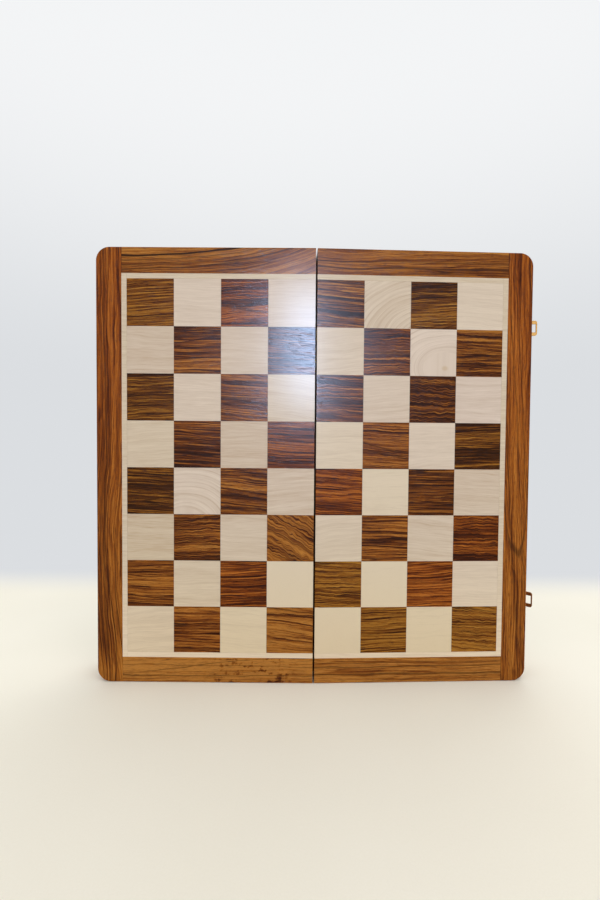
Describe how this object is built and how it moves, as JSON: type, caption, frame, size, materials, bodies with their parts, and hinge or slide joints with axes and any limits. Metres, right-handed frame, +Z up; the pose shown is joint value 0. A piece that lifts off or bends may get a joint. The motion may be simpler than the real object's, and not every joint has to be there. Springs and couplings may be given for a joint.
{
  "type": "folding chess set",
  "caption": "Hinged wooden chessboard that folds into a latched case with slotted inserts holding turned chess pieces.",
  "frame": {"origin": "foot of the seam between the two halves: on the table, halfway between the playing face and the hinge axis", "axes": "+Z up along the seam, -Y out of the playing face, +X to the right seen from the playing face"},
  "size_m": [0.3796, 0.0403, 0.3556],
  "materials": {
    "rosewood": "satin lacquered golden rosewood",
    "dark_rosewood": "satin lacquered dark streaked rosewood",
    "maple": "satin lacquered pale maple",
    "plywood": "plain birch plywood",
    "green_velvet": "flocked velvet on foam",
    "brass": "lacquered brass",
    "boxwood": "polished boxwood"
  },
  "bodies": {
    "left_half": {"left_stile": "rosewood", "left_top_rail": "rosewood", "left_bottom_rail": "rosewood", "left_seam_wall": "rosewood", "left_panel": "plywood", "left_light_squares": "maple", "left_dark_squares": "dark_rosewood", "left_border_strips": "maple", "left_insert": "green_velvet", "left_hinge_leaves": "brass", "left_screws": "brass", "hinge_pins": "brass", "latch_catches": "brass"},
    "right_half": {"right_stile": "rosewood", "right_top_rail": "rosewood", "right_bottom_rail": "rosewood", "right_seam_wall": "rosewood", "right_panel": "plywood", "right_light_squares": "maple", "right_dark_squares": "dark_rosewood", "right_border_strips": "maple", "right_insert": "green_velvet", "right_hinge_leaves": "brass", "right_screws": "brass", "latch_leaves": "brass", "latch_pins": "brass"},
    "upper_latch": {"upper_latch_flap": "brass"},
    "lower_latch": {"lower_latch_flap": "brass"},
    "light_rook_1": {"light_rook_1": "boxwood"},
    "light_knight_1": {"light_knight_1": "boxwood"},
    "light_bishop_1": {"light_bishop_1": "boxwood"},
    "light_queen": {"light_queen": "boxwood"},
    "light_king": {"light_king": "boxwood"},
    "light_bishop_2": {"light_bishop_2": "boxwood"},
    "light_knight_2": {"light_knight_2": "boxwood"},
    "light_rook_2": {"light_rook_2": "boxwood"},
    "light_pawn_1": {"light_pawn_1": "boxwood"},
    "light_pawn_2": {"light_pawn_2": "boxwood"},
    "light_pawn_3": {"light_pawn_3": "boxwood"},
    "light_pawn_4": {"light_pawn_4": "boxwood"},
    "light_pawn_5": {"light_pawn_5": "boxwood"},
    "light_pawn_6": {"light_pawn_6": "boxwood"},
    "light_pawn_7": {"light_pawn_7": "boxwood"},
    "light_pawn_8": {"light_pawn_8": "boxwood"},
    "dark_rook_1": {"dark_rook_1": "dark_rosewood"},
    "dark_knight_1": {"dark_knight_1": "dark_rosewood"},
    "dark_bishop_1": {"dark_bishop_1": "dark_rosewood"},
    "dark_queen": {"dark_queen": "dark_rosewood"},
    "dark_king": {"dark_king": "dark_rosewood"},
    "dark_bishop_2": {"dark_bishop_2": "dark_rosewood"},
    "dark_knight_2": {"dark_knight_2": "dark_rosewood"},
    "dark_rook_2": {"dark_rook_2": "dark_rosewood"},
    "dark_pawn_1": {"dark_pawn_1": "dark_rosewood"},
    "dark_pawn_2": {"dark_pawn_2": "dark_rosewood"},
    "dark_pawn_3": {"dark_pawn_3": "dark_rosewood"},
    "dark_pawn_4": {"dark_pawn_4": "dark_rosewood"},
    "dark_pawn_5": {"dark_pawn_5": "dark_rosewood"},
    "dark_pawn_6": {"dark_pawn_6": "dark_rosewood"},
    "dark_pawn_7": {"dark_pawn_7": "dark_rosewood"},
    "dark_pawn_8": {"dark_pawn_8": "dark_rosewood"}
  },
  "joints": [
    {"name": "fold", "type": "hinge", "parent": "left_half", "child": "right_half", "pos_m": [0, 0.0165, 0.1778], "axis": [0, 0, -1], "range_deg": [-177.6, 2.4]},
    {"name": "upper_latch_turn", "type": "hinge", "parent": "right_half", "child": "upper_latch", "pos_m": [0.17953, 0.02082, 0.3016], "axis": [0, 0, -1], "range_deg": [-96, 66]},
    {"name": "lower_latch_turn", "type": "hinge", "parent": "right_half", "child": "lower_latch", "pos_m": [0.17953, 0.02082, 0.062], "axis": [0, 0, -1], "range_deg": [-136, 26]},
    {"name": "light_rook_1_lift", "type": "slide", "parent": "left_half", "child": "light_rook_1", "axis": [0, 1, 0], "range_m": [0, 0.06]},
    {"name": "light_knight_1_lift", "type": "slide", "parent": "left_half", "child": "light_knight_1", "axis": [0, 1, 0], "range_m": [0, 0.06]},
    {"name": "light_bishop_1_lift", "type": "slide", "parent": "left_half", "child": "light_bishop_1", "axis": [0, 1, 0], "range_m": [0, 0.06]},
    {"name": "light_queen_lift", "type": "slide", "parent": "left_half", "child": "light_queen", "axis": [0, 1, 0], "range_m": [0, 0.06]},
    {"name": "light_king_lift", "type": "slide", "parent": "left_half", "child": "light_king", "axis": [0, 1, 0], "range_m": [0, 0.06]},
    {"name": "light_bishop_2_lift", "type": "slide", "parent": "left_half", "child": "light_bishop_2", "axis": [0, 1, 0], "range_m": [0, 0.06]},
    {"name": "light_knight_2_lift", "type": "slide", "parent": "left_half", "child": "light_knight_2", "axis": [0, 1, 0], "range_m": [0, 0.06]},
    {"name": "light_rook_2_lift", "type": "slide", "parent": "left_half", "child": "light_rook_2", "axis": [0, 1, 0], "range_m": [0, 0.06]},
    {"name": "light_pawn_1_lift", "type": "slide", "parent": "left_half", "child": "light_pawn_1", "axis": [0, 1, 0], "range_m": [0, 0.06]},
    {"name": "light_pawn_2_lift", "type": "slide", "parent": "left_half", "child": "light_pawn_2", "axis": [0, 1, 0], "range_m": [0, 0.06]},
    {"name": "light_pawn_3_lift", "type": "slide", "parent": "left_half", "child": "light_pawn_3", "axis": [0, 1, 0], "range_m": [0, 0.06]},
    {"name": "light_pawn_4_lift", "type": "slide", "parent": "left_half", "child": "light_pawn_4", "axis": [0, 1, 0], "range_m": [0, 0.06]},
    {"name": "light_pawn_5_lift", "type": "slide", "parent": "left_half", "child": "light_pawn_5", "axis": [0, 1, 0], "range_m": [0, 0.06]},
    {"name": "light_pawn_6_lift", "type": "slide", "parent": "left_half", "child": "light_pawn_6", "axis": [0, 1, 0], "range_m": [0, 0.06]},
    {"name": "light_pawn_7_lift", "type": "slide", "parent": "left_half", "child": "light_pawn_7", "axis": [0, 1, 0], "range_m": [0, 0.06]},
    {"name": "light_pawn_8_lift", "type": "slide", "parent": "left_half", "child": "light_pawn_8", "axis": [0, 1, 0], "range_m": [0, 0.06]},
    {"name": "dark_rook_1_lift", "type": "slide", "parent": "right_half", "child": "dark_rook_1", "axis": [-0.0419, 0.9991, 0], "range_m": [0, 0.06]},
    {"name": "dark_knight_1_lift", "type": "slide", "parent": "right_half", "child": "dark_knight_1", "axis": [-0.0419, 0.9991, 0], "range_m": [0, 0.06]},
    {"name": "dark_bishop_1_lift", "type": "slide", "parent": "right_half", "child": "dark_bishop_1", "axis": [-0.0419, 0.9991, 0], "range_m": [0, 0.06]},
    {"name": "dark_queen_lift", "type": "slide", "parent": "right_half", "child": "dark_queen", "axis": [-0.0419, 0.9991, 0], "range_m": [0, 0.06]},
    {"name": "dark_king_lift", "type": "slide", "parent": "right_half", "child": "dark_king", "axis": [-0.0419, 0.9991, 0], "range_m": [0, 0.06]},
    {"name": "dark_bishop_2_lift", "type": "slide", "parent": "right_half", "child": "dark_bishop_2", "axis": [-0.0419, 0.9991, 0], "range_m": [0, 0.06]},
    {"name": "dark_knight_2_lift", "type": "slide", "parent": "right_half", "child": "dark_knight_2", "axis": [-0.0419, 0.9991, 0], "range_m": [0, 0.06]},
    {"name": "dark_rook_2_lift", "type": "slide", "parent": "right_half", "child": "dark_rook_2", "axis": [-0.0419, 0.9991, 0], "range_m": [0, 0.06]},
    {"name": "dark_pawn_1_lift", "type": "slide", "parent": "right_half", "child": "dark_pawn_1", "axis": [-0.0419, 0.9991, 0], "range_m": [0, 0.06]},
    {"name": "dark_pawn_2_lift", "type": "slide", "parent": "right_half", "child": "dark_pawn_2", "axis": [-0.0419, 0.9991, 0], "range_m": [0, 0.06]},
    {"name": "dark_pawn_3_lift", "type": "slide", "parent": "right_half", "child": "dark_pawn_3", "axis": [-0.0419, 0.9991, 0], "range_m": [0, 0.06]},
    {"name": "dark_pawn_4_lift", "type": "slide", "parent": "right_half", "child": "dark_pawn_4", "axis": [-0.0419, 0.9991, 0], "range_m": [0, 0.06]},
    {"name": "dark_pawn_5_lift", "type": "slide", "parent": "right_half", "child": "dark_pawn_5", "axis": [-0.0419, 0.9991, 0], "range_m": [0, 0.06]},
    {"name": "dark_pawn_6_lift", "type": "slide", "parent": "right_half", "child": "dark_pawn_6", "axis": [-0.0419, 0.9991, 0], "range_m": [0, 0.06]},
    {"name": "dark_pawn_7_lift", "type": "slide", "parent": "right_half", "child": "dark_pawn_7", "axis": [-0.0419, 0.9991, 0], "range_m": [0, 0.06]},
    {"name": "dark_pawn_8_lift", "type": "slide", "parent": "right_half", "child": "dark_pawn_8", "axis": [-0.0419, 0.9991, 0], "range_m": [0, 0.06]}
  ]
}
